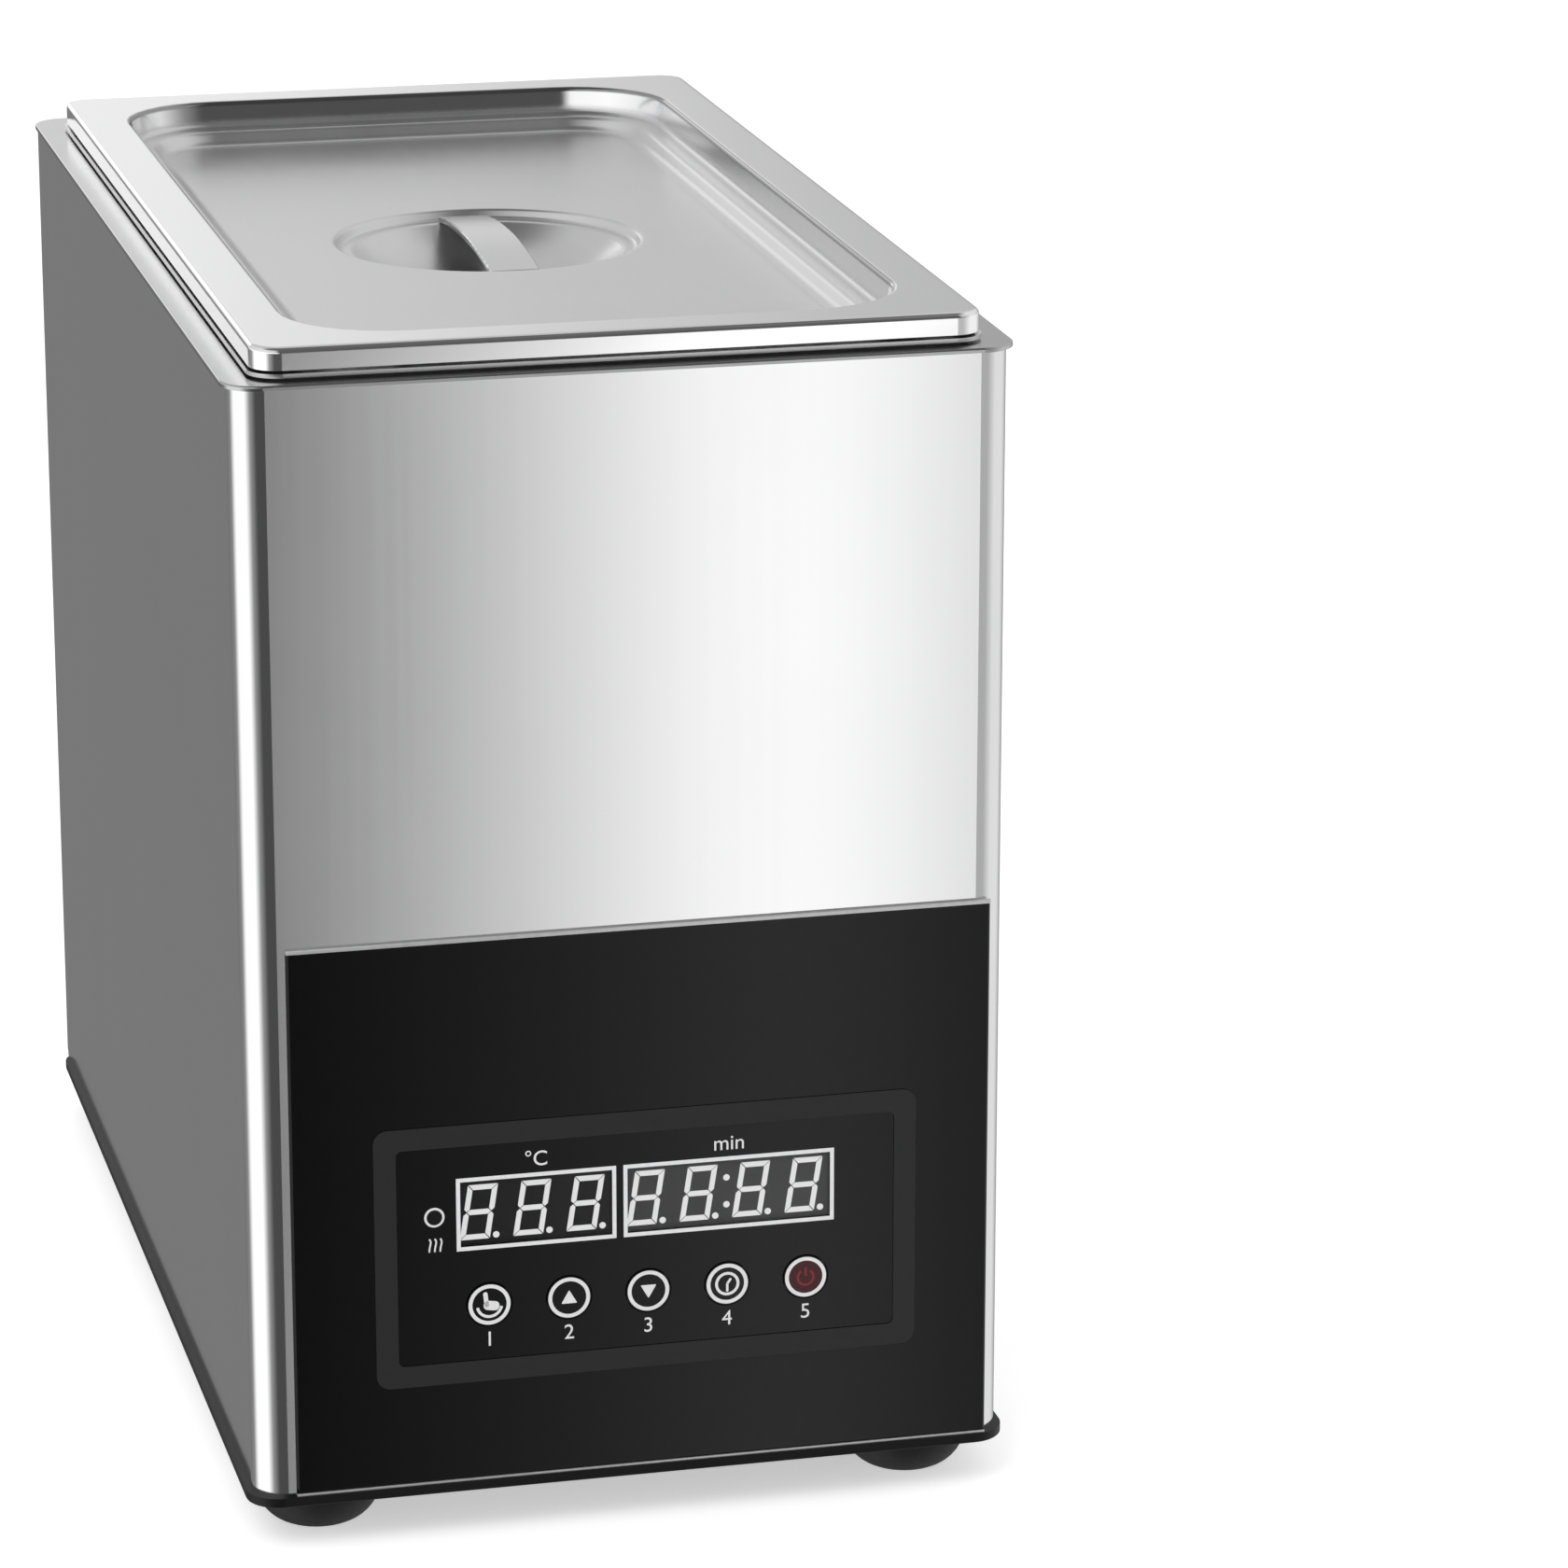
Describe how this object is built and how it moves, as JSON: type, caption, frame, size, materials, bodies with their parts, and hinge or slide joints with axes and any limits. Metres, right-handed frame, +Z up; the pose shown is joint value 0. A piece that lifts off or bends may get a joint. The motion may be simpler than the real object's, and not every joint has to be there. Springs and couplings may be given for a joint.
{
  "type": "electric egg cooker",
  "caption": "Countertop steel water bath for cooking eggs, with a lift-off lid, inner basket, rear drain valve and a black panel of displays and round keys.",
  "frame": {"origin": "on the table, under the middle of the whole footprint, drain valve included", "axes": "+X to the right seen from the front, +Y from the front to the back, +Z up"},
  "size_m": [0.191, 0.4096, 0.2993],
  "materials": {
    "steel_sheet": "satin stainless sheet with fine vertical grain",
    "pressed_steel": "satin pressed stainless",
    "steel_wire": "bright drawn stainless",
    "black_steel": "satin black paint",
    "foot_rubber": "matt black rubber",
    "seal_rubber": "grey silicone rubber",
    "screws": "bright zinc plated",
    "brass": "plain turned brass",
    "valve_plating": "nickel plated brass",
    "lever_vinyl": "dipped red vinyl",
    "seat_plastic": "white sliding plastic",
    "black_plastic": "moulded black nylon",
    "panel_black": "glossy black plate",
    "band_grey": "dark grey printed band",
    "window_smoke": "smoked clear window",
    "display_black": "matt black display face",
    "segment_white": "white lit segments",
    "lamp_lens": "milky lamp lens",
    "key_black": "glossy black cap with a white ring",
    "board_green": "green circuit board",
    "relay_blue": "blue relay case",
    "transformer_black": "potted black block",
    "terminal_white": "white terminal block",
    "ceramic_white": "white glazed disc",
    "lead_red": "red silicone insulation",
    "lead_grey": "grey insulation"
  },
  "bodies": {
    "casing": {"casing_wrap": "steel_sheet", "back_panel": "steel_sheet", "deck_plate": "steel_sheet", "base_plate": "black_steel", "feet": "foot_rubber", "foot_screws": "screws", "base_screws": "screws", "back_screws": "screws", "tank": "pressed_steel", "tank_gasket": "seal_rubber", "tank_seals": "seal_rubber", "tank_nuts": "brass", "false_bottom": "pressed_steel", "heating_element": "steel_wire", "temperature_probe": "steel_wire", "probe_gland": "brass", "probe_lead": "lead_grey", "thermal_cutout": "ceramic_white", "cutout_clip": "steel_wire", "drain_pipe": "pressed_steel", "valve_body": "valve_plating", "valve_seats": "seat_plastic", "valve_tailpiece": "valve_plating", "stem_nut": "valve_plating", "cable_gland": "black_plastic", "gland_locknut": "black_plastic", "control_panel": "panel_black", "control_band": "band_grey", "temperature_window": "window_smoke", "temperature_display": "display_black", "temperature_segments": "segment_white", "timer_window": "window_smoke", "timer_display": "display_black", "timer_segments": "segment_white", "heating_lamp": "lamp_lens", "tactile_switches": "black_plastic", "control_board": "board_green", "power_board": "board_green", "power_relay": "relay_blue", "power_transformer": "transformer_black", "board_spacers": "brass", "board_screws": "screws", "terminal_block": "terminal_white", "heater_leads": "lead_red", "board_cable": "lead_grey"},
    "lid_set": {"lid": "pressed_steel", "lid_handle": "pressed_steel"},
    "basket_set": {"egg_basket": "pressed_steel", "basket_floor": "pressed_steel", "basket_handles": "steel_wire"},
    "drain_turn": {"valve_ball": "valve_plating", "valve_stem": "brass", "valve_lever": "valve_plating", "lever_sleeve": "lever_vinyl", "lever_nut": "valve_plating"},
    "key_set_cap": {"key_set": "key_black"},
    "key_up_cap": {"key_up": "key_black"},
    "key_down_cap": {"key_down": "key_black"},
    "key_timer_cap": {"key_timer": "key_black"},
    "key_power_cap": {"key_power": "key_black"}
  },
  "joints": [
    {"name": "lid_lift", "type": "slide", "parent": "casing", "child": "lid_set", "axis": [0, 0, 1], "range_m": [0, 0.3]},
    {"name": "basket_lift", "type": "slide", "parent": "casing", "child": "basket_set", "axis": [0, 0, 1], "range_m": [0, 0.15]},
    {"name": "drain_lever_turn", "type": "hinge", "parent": "casing", "child": "drain_turn", "pos_m": [0, 0.16275, 0.1103], "axis": [0, 0, 1], "range_deg": [0, 90]},
    {"name": "key_set_press", "type": "slide", "parent": "casing", "child": "key_set_cap", "axis": [0, 1, 0], "range_m": [0, 0.0004], "stiffness_N_per_m": 1500, "springref_m": -0.0003},
    {"name": "key_up_press", "type": "slide", "parent": "casing", "child": "key_up_cap", "axis": [0, 1, 0], "range_m": [0, 0.0004], "stiffness_N_per_m": 1500, "springref_m": -0.0003},
    {"name": "key_down_press", "type": "slide", "parent": "casing", "child": "key_down_cap", "axis": [0, 1, 0], "range_m": [0, 0.0004], "stiffness_N_per_m": 1500, "springref_m": -0.0003},
    {"name": "key_timer_press", "type": "slide", "parent": "casing", "child": "key_timer_cap", "axis": [0, 1, 0], "range_m": [0, 0.0004], "stiffness_N_per_m": 1500, "springref_m": -0.0003},
    {"name": "key_power_press", "type": "slide", "parent": "casing", "child": "key_power_cap", "axis": [0, 1, 0], "range_m": [0, 0.0004], "stiffness_N_per_m": 1500, "springref_m": -0.0003}
  ],
  "couplings": [
    {"joint": "basket_lift", "follows": "lid_lift", "ratio": 0.5}
  ]
}
